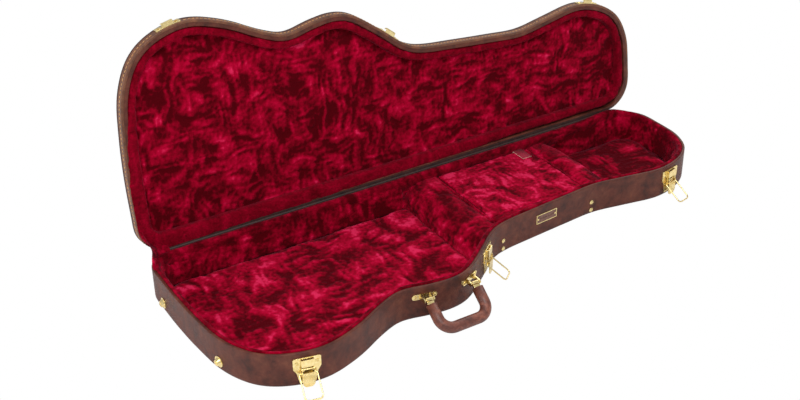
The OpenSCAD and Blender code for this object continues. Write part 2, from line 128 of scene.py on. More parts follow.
def make_studio():
    """White surroundings, three soft lights and a pale floor."""
    world = bpy.data.worlds.new("studio")
    bpy.context.scene.world = world
    world.use_nodes = True
    world.node_tree.nodes["Background"].inputs["Color"].default_value = (1, 1, 1, 1)
    world.node_tree.nodes["Background"].inputs["Strength"].default_value = 0.62
    bpy.context.scene.view_settings.view_transform = "Standard"
    area_light("key", (-0.8, -1.3, 2.4), (0, 0.1, 0.1), (1.6, 1.2), 46)
    area_light("side", (-2.4, 0.6, 0.9), (-0.3, 0, 0.1), (1.2, 1.2), 14)
    area_light("rim", (1.6, 1.2, 1.8), (0.2, 0.1, 0.1), (1.2, 1.2), 14)

    me = bpy.data.meshes.new("floor")
    side = 6
    me.from_pydata(
        [(-side, -side, 0), (side, -side, 0), (side, side, 0), (-side, side, 0)],
        [], [(0, 1, 2, 3)],
    )
    floor = bpy.data.objects.new("floor", me)
    bpy.context.scene.collection.objects.link(floor)
    material, tree, shader = new_material("floor_paper")
    shader.inputs["Base Color"].default_value = (0.93, 0.93, 0.93, 1)
    shader.inputs["Roughness"].default_value = 0.9
    # the camera sees pure white, as in a cut-out; the case still gets the floor's light
    white = tree.nodes.new("ShaderNodeEmission")
    mix = tree.nodes.new("ShaderNodeMixShader")
    path = tree.nodes.new("ShaderNodeLightPath")
    tree.links.new(path.outputs["Is Camera Ray"], mix.inputs[0])
    tree.links.new(shader.outputs[0], mix.inputs[1])
    tree.links.new(white.outputs[0], mix.inputs[2])
    tree.links.new(mix.outputs[0], tree.nodes["Material Output"].inputs["Surface"])
    me.materials.append(material)
    floor.location.z = -0.3 * MM


# ---------------------------------------------------------------- material helpers
def new_material(name):
    """The material, its node tree and its main shader."""
    material = bpy.data.materials.new(name)
    material.use_nodes = True
    return material, material.node_tree, material.node_tree.nodes["Principled BSDF"]


def add(tree, kind, links=(), **values):
    """A new node, its inputs set by name, and linked from (input name, output) pairs."""
    node = tree.nodes.new(kind)
    for key, value in values.items():
        label = key.replace("_", " ")
        if label in node.inputs:
            node.inputs[label].default_value = value
        else:
            setattr(node, key, value)
    for label, output in links:
        tree.links.new(output, node.inputs[label])
    return node


def place(tree, stretch=(1, 1, 1)):
    """Object coordinates in metres, stretched."""
    coordinates = tree.nodes.new("ShaderNodeTexCoord")
    mapping = tree.nodes.new("ShaderNodeMapping")
    mapping.inputs["Scale"].default_value = stretch
    tree.links.new(coordinates.outputs["Object"], mapping.inputs["Vector"])
    return mapping.outputs[0]


def grain(tree, size, detail=3.0, roughness=0.5, distortion=0.0, stretch=(1, 1, 1)):
    """Noise whose features are about size metres across."""
    node = add(
        tree, "ShaderNodeTexNoise", [("Vector", place(tree, stretch))],
        Scale=1 / size, Detail=detail, Roughness=roughness, Distortion=distortion,
    )
    return node.outputs[0]


def ramp(tree, value, *stops):
    """Colour by value; each stop is (position, (r, g, b)) with the colour in sRGB 0-255."""
    node = tree.nodes.new("ShaderNodeValToRGB")
    tree.links.new(value, node.inputs[0])
    elements = node.color_ramp.elements
    while len(elements) < len(stops):
        elements.new(0.5)
    for element, (position, color) in zip(elements, stops):
        element.position = position
        element.color = (*[linear(c / 255) for c in color], 1)
    return node.outputs[0]


def linear(c):
    """An sRGB value from 0 to 1, as linear light."""
    return c / 12.92 if c <= 0.04045 else ((c + 0.055) / 1.055) ** 2.4


def math_node(tree, operation, a, b):
    """a and b, each a socket or a number, combined."""
    node = tree.nodes.new("ShaderNodeMath")
    node.operation = operation
    for socket, value in zip(node.inputs, (a, b)):
        if isinstance(value, (int, float)):
            socket.default_value = value
        else:
            tree.links.new(value, socket)
    return node.outputs[0]


def weighted(tree, value, *others):
    """value plus each other noise, centred on zero and times its weight."""
    for other, weight in others:
        centred = math_node(tree, "SUBTRACT", other, 0.5)
        value = math_node(tree, "ADD", value, math_node(tree, "MULTIPLY", centred, weight))
    return value


def mix_color(tree, factor, a, b):
    """Colour a where factor is 0 and b where it is 1."""
    node = tree.nodes.new("ShaderNodeMix")
    node.data_type = "RGBA"
    colors = [socket for socket in node.inputs if socket.type == "RGBA"]
    tree.links.new(factor, node.inputs[0])
    tree.links.new(a, colors[0])
    tree.links.new(b, colors[1])
    return next(socket for socket in node.outputs if socket.type == "RGBA")


def bump(tree, height, distance, strength=1.0, below=None):
    """A normal bent by height, on top of the normal below."""
    node = add(tree, "ShaderNodeBump", [("Height", height)], Strength=strength, Distance=distance)
    if below is not None:
        tree.links.new(below, node.inputs["Normal"])
    return node.outputs[0]


def value_range(tree, value, low, high):
    """value's 0 to 1 carried over to low to high."""
    node = add(tree, "ShaderNodeMapRange", [("Value", value)])
    node.inputs["To Min"].default_value = low
    node.inputs["To Max"].default_value = high
    return node.outputs[0]


# ---------------------------------------------------------------- materials
def plush_material(name="plush"):
    """Crushed crimson pile: painted sheen and shade in patches from the nap attribute, fibres
    from fine noise.
    """
    material, tree, shader = new_material(name)
    nap = tree.nodes.new("ShaderNodeAttribute")
    nap.attribute_name = "nap"
    fibre = grain(tree, 3 * MM, 4, 0.7, 0.5)
    smear = grain(tree, 9 * MM, 3, 0.6, 1.2)
    tone = weighted(tree, nap.outputs["Fac"], (fibre, 0.5), (smear, 0.5))
    color = ramp(
        tree, value_range(tree, tone, 0, 1),
        (0.0, (74, 0, 8)), (0.28, (116, 0, 22)), (0.52, (148, 0, 34)),
        (0.76, (174, 4, 48)), (1.0, (206, 36, 80)),
    )
    tree.links.new(color, shader.inputs["Base Color"])
    shader.inputs["Roughness"].default_value = 0.92
    shader.inputs["Specular IOR Level"].default_value = 0.04
    shader.inputs["Sheen Weight"].default_value = 0.12
    shader.inputs["Sheen Roughness"].default_value = 0.4
    shader.inputs["Sheen Tint"].default_value = (1.0, 0.25, 0.4, 1)
    rough = bump(tree, smear, 3 * MM, 0.5)
    tree.links.new(bump(tree, fibre, 1.5 * MM, 0.5, rough), shader.inputs["Normal"])
    return material


def leather_skin(tree, shader, rough, relief, cell=1.5 * MM, depth=0.12 * MM, strength=0.5):
    """Fine pebbled cells over a broader relief. relief is (noise, depth, strength), and
    rough is (noise, low, high) of the roughness."""
    noise_output, low, high = rough
    tree.links.new(value_range(tree, noise_output, low, high), shader.inputs["Roughness"])
    cells = add(
        tree, "ShaderNodeTexVoronoi", [("Vector", place(tree))],
        Scale=1 / cell, Randomness=1.0,
    )
    skin = bump(tree, cells.outputs["Distance"], depth, strength)
    tree.links.new(bump(tree, *relief, skin), shader.inputs["Normal"])


def vinyl_material():
    """Mottled red-brown covering with a fine leather grain."""
    material, tree, shader = new_material("vinyl")
    patch = grain(tree, 26 * MM, 5, 0.66, 0.2)
    cloud = grain(tree, 9 * MM, 4, 0.6, 0.2)
    tone = mix_color(
        tree, value_range(tree, cloud, 0.15, 0.85),
        ramp(tree, patch, (0.3, (40, 20, 14)), (0.45, (66, 36, 24)), (0.6, (84, 48, 34)),
             (0.75, (108, 66, 48))),
        ramp(tree, patch, (0.3, (58, 20, 14)), (0.5, (92, 36, 26)), (0.72, (112, 56, 40))),
    )
    tree.links.new(tone, shader.inputs["Base Color"])
    shader.inputs["Specular IOR Level"].default_value = 0.3
    leather_skin(tree, shader, (patch, 0.42, 0.6), (cloud, 0.5 * MM, 0.35))
    return material


def side_vinyl_material():
    """The lid's outside covering: more orange than the base's, and painted lighter than it as the
    light from above that falls on the lid's side.
    """
    material, tree, shader = new_material("side_vinyl")
    patch = grain(tree, 18 * MM, 5, 0.64, 0.2)
    # stops lighter than the base vinyl's: painted light from above on the lid's side
    color = ramp(
        tree, patch, (0.3, (62, 34, 22)), (0.45, (92, 52, 32)), (0.6, (112, 66, 40)),
        (0.75, (130, 82, 54)),
    )
    tree.links.new(color, shader.inputs["Base Color"])
    leather_skin(tree, shader, (patch, 0.42, 0.6), (patch, 0.5 * MM, 0.35))
    return material


def plain_material(name, size, low, high, roughness):
    """One fine mottle between two colours, with a bump of the same pattern."""
    material, tree, shader = new_material(name)
    patch = grain(tree, size, 3, 0.6, 0.4)
    tree.links.new(ramp(tree, patch, (0.3, low), (0.7, high)), shader.inputs["Base Color"])
    shader.inputs["Roughness"].default_value = roughness
    tree.links.new(bump(tree, patch, 0.2 * MM, 0.5), shader.inputs["Normal"])
    return material


def leather_material():
    """Handle leather: darker in the grain, rubbed lighter in places."""
    material, tree, shader = new_material("leather")
    patch = grain(tree, 16 * MM, 4, 0.6, 0.6)
    color = ramp(tree, patch, (0.3, (62, 30, 24)), (0.5, (98, 50, 38)), (0.7, (134, 76, 58)))
    tree.links.new(color, shader.inputs["Base Color"])
    leather_skin(
        tree, shader, (patch, 0.35, 0.55), (patch, 0.6 * MM, 0.4), 1.2 * MM, 0.15 * MM, 0.6
    )
    return material


def brass_material():
    """Pale gold plating with fine polishing marks."""
    material, tree, shader = new_material("brass")
    haze = grain(tree, 7 * MM, 4, 0.6)
    brush = grain(tree, 1.2 * MM, 2, 0.5, 0, (1, 1, 0.12))
    color = ramp(tree, haze, (0.3, (222, 196, 128)), (0.7, (244, 226, 170)))
    tree.links.new(color, shader.inputs["Base Color"])
    shader.inputs["Metallic"].default_value = 1.0
    tree.links.new(value_range(tree, haze, 0.16, 0.34), shader.inputs["Roughness"])
    tree.links.new(bump(tree, brush, 0.03 * MM, 0.35), shader.inputs["Normal"])
    return material


def plywood_material():
    """Pale ply with its grain along the case."""
    material, tree, shader = new_material("plywood")
    line = grain(tree, 5 * MM, 4, 0.6, 0.4, (0.12, 1, 3))
    color = ramp(
        tree, line, (0.3, (168, 128, 84)), (0.55, (196, 158, 110)), (0.75, (212, 178, 130))
    )
    tree.links.new(color, shader.inputs["Base Color"])
    shader.inputs["Roughness"].default_value = 0.7
    tree.links.new(bump(tree, line, 0.2 * MM, 0.5), shader.inputs["Normal"])
    return material


# ---------------------------------------------------------------- the contour
def rim_ring():
    """The outermost ring of the wrap's points at rim height, in order round the case."""
    bm = bmesh.new()
    bm.from_mesh(frame["nodes"]["base_vinyl_wrap"].data)
    bmesh.ops.remove_doubles(bm, verts=bm.verts, dist=1e-5)
    bm.normal_update()

    def is_rim(edge):
        level = all(abs(v.co.z - RIM) < 1e-5 for v in edge.verts)
        tops = [abs(f.normal.z) > 0.9 for f in edge.link_faces]
        return level and len(tops) == 2 and tops[0] != tops[1]

    joined = {}
    for edge in filter(is_rim, bm.edges):
        a, b = edge.verts
        joined.setdefault(a, []).append(b)
        joined.setdefault(b, []).append(a)
    start = min(joined, key=lambda v: (round(v.co.y, 5), v.co.x))
    loop, last = [start], None
    while True:
        step = next(v for v in joined[loop[-1]] if v is not last)
        last = loop[-1]
        if step is start:
            break
        loop.append(step)
    points = np.array([v.co.xy for v in loop])
    bm.free()
    x, y = points.T
    area = np.sum(x * np.roll(y, -1) - y * np.roll(x, -1)) / 2
    return points if area > 0 else points[::-1]


def smooth_ring(points, spacing, longest=0.03):
    """A closed curve through the points, as evenly spaced points."""
    dense = []
    for a, b in zip(points, np.roll(points, -1, 0)):
        parts = max(1, math.ceil(np.linalg.norm(b - a) / longest))
        dense += [a + (b - a) * k / parts for k in range(parts)]
    dense = np.array(dense)
    ahead = np.roll(dense, -1, 0) - dense
    length = np.linalg.norm(ahead, axis=1)
    u = ahead / length[:, None]
    tangent = np.roll(u, 1, 0) * length[:, None] + u * np.roll(length, 1)[:, None]
    tangent /= np.linalg.norm(tangent, axis=1)[:, None]
    fine = []
    for i, a in enumerate(dense):
        b, m, n = dense[(i + 1) % len(dense)], tangent[i], tangent[(i + 1) % len(dense)]
        for t in np.arange(0, 1, 0.1):
            h = length[i]
            fine.append(
                a * (2 * t**3 - 3 * t**2 + 1) + m * h * (t**3 - 2 * t**2 + t)
                + b * (-2 * t**3 + 3 * t**2) + n * h * (t**3 - t**2)
            )
    fine = np.array(fine + [fine[0]])
    along = np.concatenate([[0], np.cumsum(np.linalg.norm(np.diff(fine, axis=0), axis=1))])
    count = round(along[-1] / spacing)
    at = np.arange(count) * along[-1] / count
    return np.stack([np.interp(at, along, fine[:, k]) for k in (0, 1)], 1)


RING = smooth_ring(rim_ring(), 6 * MM)
TANGENT = np.roll(RING, -1, 0) - np.roll(RING, 1, 0)
TANGENT /= np.linalg.norm(TANGENT, axis=1)[:, None]
INWARD = np.stack([-TANGENT[:, 1], TANGENT[:, 0]], 1)


# ---------------------------------------------------------------- mesh helpers
def new_piece(name, verts, faces, material, sharp=40):
    """A smooth-shaded object, with edges sharper than that many degrees kept sharp."""
    me = bpy.data.meshes.new(name)
    me.from_pydata([tuple(v) for v in verts], [], faces)
    me.validate()
    me.polygons.foreach_set("use_smooth", [True] * len(me.polygons))
    me.set_sharp_from_angle(angle=math.radians(sharp))
    me.materials.append(material)
    obj = bpy.data.objects.new(name, me)
    bpy.context.scene.collection.objects.link(obj)
    return obj


def swept(rows, tube=False, lid=False):
    """Vertices and faces of a profile of (inward, up) rows carried round the contour. Each
    is a number or an array along RING. A tube joins its last row to its first; any other
    profile gets flat caps there. lid carries the result over to the open lid."""
    verts, count = [], len(RING)
    for s, z in rows:
        ring = RING + INWARD * (np.asarray(s, float).reshape(-1, 1) if np.ndim(s) else s)
        heights = np.broadcast_to(z, (count,))
        verts += [(x, y, h) for (x, y), h in zip(ring, heights)]
    faces = []
    for r in range(len(rows) - 1):
        for i in range(count):
            j = (i + 1) % count
            faces.append((r * count + i, (r + 1) * count + i, (r + 1) * count + j, r * count + j))
    if tube:
        last = len(rows) - 1
        for i in range(count):
            j = (i + 1) % count
            faces.append((last * count + i, i, j, last * count + j))
    else:
        faces.append(tuple(range(count)))
        faces.append(tuple(reversed(range((len(rows) - 1) * count, len(rows) * count))))
    if lid:
        verts = [OPENED @ Vector(v) for v in verts]
    return verts, faces


def arc(center, radius, start, end, steps):
    """Points on an arc in the (inward, up) plane, angles in degrees."""
    return [
        (
            center[0] + radius * math.cos(math.radians(a)),
            center[1] + radius * math.sin(math.radians(a)),
        )
        for a in np.linspace(start, end, steps + 1)
    ]


def apply_modifiers(obj):
    """Makes the evaluated mesh the object's own."""
    graph = bpy.context.evaluated_depsgraph_get()
    me = bpy.data.meshes.new_from_object(obj.evaluated_get(graph))
    obj.modifiers.clear()
    obj.data = me


def copy_solids(name, nodes, material):
    """One new object holding copies of the CAD nodes' solids."""
    bm = bmesh.new()
    for node in nodes:
        bm.from_mesh(frame["nodes"][node].data)
    bmesh.ops.remove_doubles(bm, verts=bm.verts, dist=1e-6)
    me = bpy.data.meshes.new(name)
    bm.to_mesh(me)
    bm.free()
    me.materials.clear()
    me.materials.append(material)
    obj = bpy.data.objects.new(name, me)
    bpy.context.scene.collection.objects.link(obj)
    return obj


def coordinates(me):
    """The mesh's points as an array, one row each."""
    co = np.empty(len(me.vertices) * 3, np.float32)
    me.vertices.foreach_get("co", co)
    return co.reshape(-1, 3).astype(float)


def set_coordinates(me, co):
    """Moves the mesh's points."""
    me.vertices.foreach_set("co", co.astype(np.float32).ravel())
    me.update()


def normals(me):
    """The mesh's normals at its points."""
    no = np.empty(len(me.vertices) * 3, np.float32)
    me.vertex_normals.foreach_get("vector", no)
    return no.reshape(-1, 3).astype(float)


def stuffed(obj, cap):
    """Swells the piece as a filled cloth bag; no point moves further than cap."""
    frames = 20
    start = coordinates(obj.data)
    cloth = obj.modifiers.new("cloth", "CLOTH")
    cloth.settings.quality = 4
    cloth.settings.use_pressure = True
    cloth.settings.uniform_pressure_force = 4
    cloth.settings.effector_weights.gravity = 0
    cloth.settings.tension_stiffness = 12
    cloth.settings.compression_stiffness = 12
    cloth.settings.bending_stiffness = 0.4
    cloth.point_cache.frame_end = frames
    scene = bpy.context.scene
    for f in range(1, frames + 1):
        scene.frame_set(f)
    apply_modifiers(obj)
    travel = coordinates(obj.data) - start
    reach = np.linalg.norm(travel, axis=1)
    share = np.minimum(1, cap / np.maximum(reach, 1e-9))
    set_coordinates(obj.data, start + travel * share[:, None])
    scene.frame_set(1)


def crush(obj, height, grow=0.0, size=42 * MM, tone=0.5, contrast=1.0):
    """Presses crumpled pile into the piece along its normals and writes the nap attribute,
    0 where the pile lies dark and 1 where it catches the light. height is in metres."""
    me = obj.data
    co, no = coordinates(me), normals(me)
    lift, nap = np.empty(len(co)), np.empty(len(co))
    for i, p in enumerate(co):
        q = Vector(p) / size
        q += 0.5 * noise.noise_vector(q * 0.6)
        blotch = noise.noise(q)
        # the pile is brushed along the case in some patches and across it in others
        along = noise.noise(Vector((q.x * 0.8, q.y * 3.4, q.z * 3.4 + 7)))
        across = noise.noise(Vector((q.x * 3.4, q.y * 0.9, q.z * 0.9 + 19)))
        share = min(max(0.5 + 2.5 * noise.noise(q * 0.45 + Vector((9, 2, 4))), 0), 1)
        streak = share * along + (1 - share) * across
        fluff = noise.noise(Vector(p) / (5.5 * MM))
        fold = abs(noise.noise(Vector((q.x * 0.4 + 3, q.y * 0.8, q.z * 0.8 + 5))))
        crease = math.exp(-((fold / 0.03) ** 2)) * (1 - share)
        lift[i] = 0.5 * blotch + 0.5 * streak + 0.22 * fluff - 0.5 * crease
        # creases also lower the nap: painted shade in the pile's folds
        nap[i] = 0.4 * blotch + 0.42 * streak + 0.24 * fluff - 0.12 * crease
    set_coordinates(me, co + no * (grow + height * lift)[:, None])
    attribute = me.attributes.new("nap", "FLOAT", "POINT")
    values = np.clip(tone + contrast * nap, -0.2, 1.2)
    attribute.data.foreach_set("value", values.astype(np.float32))
    me.polygons.foreach_set("use_smooth", [True] * len(me.polygons))


def depth(points):
    """How far inside the contour each (x, y) point lies, and the inward direction there."""
    offsets = points[:, None, :] - RING[None]
    nearest = np.argmin(np.einsum("ijk,ijk->ij", offsets, offsets), 1)
    inward = INWARD[nearest]
    return np.einsum("ij,ij->i", points - RING[nearest], inward), inward


def moved(co, matrix):
    """The points carried along by the matrix."""
    m = np.array(matrix)
    return co @ m[:3, :3].T + m[:3, 3]


def soft(name, nodes, body, voxel, height, shrink=0.8 * MM, smooth=4, cap=None, grow=0.0,
         size=42 * MM, tone=0.5, contrast=1.0, reshape=None, back=None, keep=None):
    """A plush piece grown from CAD solids: remeshed, rounded, swollen and crushed.
    reshape changes the solids' points first and keep corrects the final ones. back is the
    plane (point, outward normal) the piece lies on: it stays flat there. cap is how far a
    point may swell in the cloth simulation, which pieces without one skip."""
    obj = copy_solids(name, nodes, PLUSH)
    co = coordinates(obj.data)
    if reshape:
        co = reshape(co)
    if back:
        origin, normal = (np.array(v) for v in back)
        on_back = np.abs((co - origin) @ normal) < 0.1 * MM
        co[on_back] += normal * 8 * MM
    set_coordinates(obj.data, co)
    remesh = obj.modifiers.new("remesh", "REMESH")
    remesh.mode = "VOXEL"
    remesh.voxel_size = voxel
    rounding = obj.modifiers.new("round", "SMOOTH")
    rounding.factor = 0.5
    rounding.iterations = smooth
    apply_modifiers(obj)
    co = coordinates(obj.data)
    set_coordinates(obj.data, co - normals(obj.data) * shrink)
    if cap:
        stuffed(obj, cap)
    finer = obj.modifiers.new("finer", "SUBSURF")
    finer.levels = finer.render_levels = 1
    apply_modifiers(obj)
    crush(obj, height, grow + shrink, size, tone, contrast)
    co = coordinates(obj.data)
    if back:
        past = np.maximum((co - origin) @ normal, 0)
        co -= past[:, None] * normal
    if keep:
        co = keep(co)
    set_coordinates(obj.data, co)
    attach(obj, body)
    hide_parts(*nodes)
    return obj


# ---------------------------------------------------------------- shells
def make_base_shell():
    """Wrapped wall of the base, its rim rounded and its foot turned under."""
    rows = [(WALL, SHEET), (WALL, RIM - 0.8 * MM)]
    rows += arc((WALL - 0.8 * MM, RIM - 0.8 * MM), 0.8 * MM, 0, 90, 3)
    rows += arc((1.4 * MM, RIM - 1.4 * MM), 1.4 * MM, 90, 180, 4)
    rows += [(0, z) for z in np.linspace(RIM - 6 * MM, EDGE + 2 * MM, 6)]
    rows += arc((EDGE, EDGE), EDGE, 180, 270, 7)
    rows += [(EDGE + 6 * MM, 0)]
    shell = new_piece("base_shell", *swept(rows), VINYL)
    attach(shell, "base")
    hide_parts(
        "base_vinyl_wrap", "base_vinyl_sheet", "base_frame_body", "base_frame_neck",
        "base_frame_back",
    )


def make_lid_shell():
    """Wrapped wall and top of the lid. Along the hinges the edge of its mouth is dark."""
    rows = [(WALL, LID_TOP - SHEET), (WALL, LID_Z + 0.25 * MM)]
    rows += arc((WALL - 0.25 * MM, LID_Z + 0.25 * MM), 0.25 * MM, 0, -90, 2)
    rows += arc((1.4 * MM, LID_Z + 1.4 * MM), 1.4 * MM, -90, -180, 4)
    rows += [(0, z) for z in np.linspace(LID_Z + 4 * MM, LID_TOP - EDGE - 1 * MM, 4)]
    rows += arc((EDGE, LID_TOP - EDGE), EDGE, 180, 90, 7)
    rows += [(EDGE + 6 * MM, LID_TOP)]
    verts, faces = swept(rows, lid=True)
    shell = new_piece("lid_shell", verts, [f[::-1] for f in faces], SIDE_VINYL)
    shell.data.materials.append(DARK_VINYL)
    closed = OPENED.inverted()
    for face in shell.data.polygons:
        center = closed @ face.center
        if center.y > LID_AXIS.y - 8 * MM and center.z < LID_Z + 5 * MM:
            face.material_index = 1
    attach(shell, "lid")
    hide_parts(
        "lid_vinyl_wrap", "lid_vinyl_sheet", "lid_frame_front", "lid_frame_back"
    )


def covered_rim(x, y):
    """Where the lid's border pile begins, inward from the outer face, in the closed lid.
    It leaves the flat band bare, except at the hinges and down the lower-bout end."""
    from_hinge = LID_AXIS.y - y
    reach = np.interp(from_hinge, (0.075, 0.105, 0.19, 0.24), (0.5, 1.5, 7.5, 11.5)) * MM
    end = np.where(x < -0.4, reach, LID_BAND)
    return np.where(y > LID_AXIS.y - 0.012, 1 * MM, end)


def make_lid_rim():
    """Flat covered band round the lid's mouth."""
    top = LID_TOP - SHEET
    r, seam = 1.2 * MM, 0.3 * MM
    outer = WALL + 0.1 * MM
    inner = np.maximum(covered_rim(*RING.T), WALL + 2.8 * MM)
    rows = [(outer, top), (outer, LID_Z + seam)]
    rows += arc((outer + seam, LID_Z + seam), seam, 180, 270, 2)
    rows += [(inner - r + a, z) for a, z in arc((0, LID_Z + r), r, 270, 360, 4)]
    rows += [(inner, LID_Z + 6 * MM), (inner, top)]
    verts, faces = swept(rows, tube=True, lid=True)
    band = new_piece("lid_rim", verts, faces, VINYL)
    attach(band, "lid")
    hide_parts("lid_rim_front", "lid_rim_back")


def make_hinge_cover():
    """Dark covering tape over the knuckles, from the base's rim round to the lid's."""
    def about_axis(angle, r):
        return (
            LID_AXIS.y - r * math.cos(angle),
            LID_AXIS.z + r * math.sin(angle),
        )

    turns = np.linspace(0, LID_OPEN, 10)
    outer, inner, flange = 2.8 * MM, 2.6 * MM, 4.1 * MM
    profile = [about_axis(0, flange)]
    profile += [about_axis(a, outer) for a in turns]
    profile += [about_axis(LID_OPEN, flange)]
    profile += [about_axis(LID_OPEN - 0.03, flange)]
    profile += [about_axis(a, inner) for a in turns[::-1]]
    profile += [about_axis(-0.03, flange)]
    verts, faces = [], []
    m = len(profile)
    tape_ends = (-0.488, 0.466)
    places = np.linspace(*tape_ends, 120)
    for x in places:
        verts += [(x, y, z) for y, z in profile]
    for k in range(len(places) - 1):
        for q in range(m):
            a, b = k * m + q, k * m + (q + 1) % m
            faces.append((a, a + m, b + m, b))
    faces.append(tuple(range(m)))
    faces.append(tuple(len(verts) - m + q for q in reversed(range(m))))
    cover = new_piece("hinge_cover", verts, faces, DARK_VINYL)
    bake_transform(cover)


def make_lid_piping():
    """Rounded bead round the lid's outside edge."""
    drop, radius = 7.6 * MM, 1.1 * MM
    rows = arc((0.1 * MM, LID_TOP - drop), radius, 60, 300, 8)
    verts, faces = swept(rows, tube=True, lid=True)
    bead = new_piece("lid_piping_bead", verts, [f[::-1] for f in faces], DARK_VINYL)
    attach(bead, "lid")
    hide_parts("lid_piping")


def make_stitches():
    """Short rounded stitches along the lid's side wall, none at the hinges or catches."""
    z, pitch, length, r = LID_TOP - 19 * MM, 7 * MM, 5.4 * MM, 0.6 * MM
    # along the stitch, its thickness, and how far it stands out, both as shares of r
    bulge = ((0, 0.25, -0.3), (0.15, 0.8, 0.2), (0.5, 1, 0.5), (0.85, 0.8, 0.2), (1, 0.25, -0.3))
    sides = 6
    step = np.linalg.norm(np.roll(RING, -1, 0) - RING, axis=1)
    along = np.concatenate([[0], np.cumsum(step)])
    closed = np.vstack([RING, RING[:1]])
    catches = frame["nodes"]["lid_catches"].data
    catches = moved(coordinates(catches), OPENED.inverted())[:, :2]
    verts, faces = [], []
    for k in range(int(along[-1] / pitch)):
        mid = (k + 0.5) * pitch
        ends = []
        for at in (mid - length / 2, mid + length / 2):
            x, y = (np.interp(at, along, closed[:, c]) for c in (0, 1))
            ends.append(Vector((x, y, z)))
        a, b = ends
        at_catch = np.min(np.linalg.norm(catches - np.array(a.lerp(b, 0.5))[:2], axis=1))
        if a.y > LID_AXIS.y - 4 * MM or at_catch < 4 * MM:
            continue
        d = (b - a).normalized()
        out, up = Vector((d.y, -d.x, 0)), Vector((0, 0, 1))
        first = len(verts)
        for t, width, lift in bulge:
            center = a.lerp(b, t) + out * r * lift
            for q in range(sides):
                angle = 2 * math.pi * q / sides
                spoke = out * math.cos(angle) + up * math.sin(angle)
                verts.append(OPENED @ (center + spoke * r * width))
        for row in range(len(bulge) - 1):
            for q in range(sides):
                i, j = first + row * sides + q, first + row * sides + (q + 1) % sides
                faces.append((i, j, j + sides, i + sides))
        last = first + (len(bulge) - 1) * sides
        faces.append(tuple(first + q for q in reversed(range(sides))))
        faces.append(tuple(last + q for q in range(sides)))
    stitches = new_piece("lid_stitches", verts, faces, THREAD, sharp=70)
    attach(stitches, "lid")


# ---------------------------------------------------------------- plush
def pile_height(x, y):
    """How far the rim's pile stands above the rim: most at the headstock's hinge corner."""
    corner = math.exp(-(((x - 0.455) / 0.045) ** 2)) * (1 if y > 0.15 else 0)
    hinge_side = 1 / (1 + math.exp(-(y - 0.165) / 0.006))
    return (1 - hinge_side) * 1.6 * MM + 2.2 * MM * hinge_side + corner * 7 * MM


def make_valance():
    """Pile that lines the wall and rolls over the rim, where the closing lid presses it
    down."""
    proud = np.array([pile_height(x, y) for x, y in RING])
    top = RIM + proud
    # at the hinges the pile laps over the rim
    lap = WALL - 3.4 * MM / (1 + np.exp(-(RING[:, 1] - 0.178) / (1 * MM)))
    rows = [
        (WALL, SHEET), (WALL, RIM - 24 * MM), (WALL, RIM - 8 * MM), (WALL, RIM - 3.0 * MM),
        (lap + 0.6 * MM, top - 1.2 * MM), (lap + 2.2 * MM, top - 0.2 * MM),
        (WALL + 4.5 * MM, top), (WALL + 7.0 * MM, top - 1.2 * MM),
        (WALL + 8.6 * MM, top - 4 * MM), (WALL + 9.2 * MM, top - 8 * MM),
        (WALL + 9.0 * MM, RIM - 15 * MM), (WALL + 5.0 * MM, RIM - 24 * MM),
        (WALL + 3.6 * MM, (RIM + SHEET) / 2), (WALL + 3.6 * MM, SHEET),
    ]
    roll = new_piece("rim_pile", *swept(rows, tube=True), PLUSH)
    finer = roll.modifiers.new("finer", "SUBSURF")
    finer.levels = finer.render_levels = 1
    apply_modifiers(roll)
    crush(roll, 1.6 * MM, 0, 30 * MM, tone=0.27)
    co = coordinates(roll.data)
    inside, _ = depth(co[:, :2])
    lapped = (inside < WALL) & (co[:, 2] > RIM - 2.5 * MM)
    co[:, 2] = np.where(lapped, np.maximum(co[:, 2], RIM + 0.1 * MM), co[:, 2])
    set_coordinates(roll.data, co)
    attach(roll, "base")
    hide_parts("valance")
    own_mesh(roll)


def spread(node, limit=None, value=None, by=4 * MM):
    """Widens the node's outline by that much each way, against its neighbours, and moves
    every point past limit along the case to value; limit's side is value's."""
    low, high = (np.array(corner[:2]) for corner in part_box(node))
    middle, size = (low + high) / 2, high - low

    def reshape(co):
        if limit is not None:
            past = co[:, 0] > limit if value > limit else co[:, 0] < limit
            co[past, 0] = value
        co[:, :2] = middle + (co[:, :2] - middle) * (size + 2 * by) / size
        return co
    return reshape


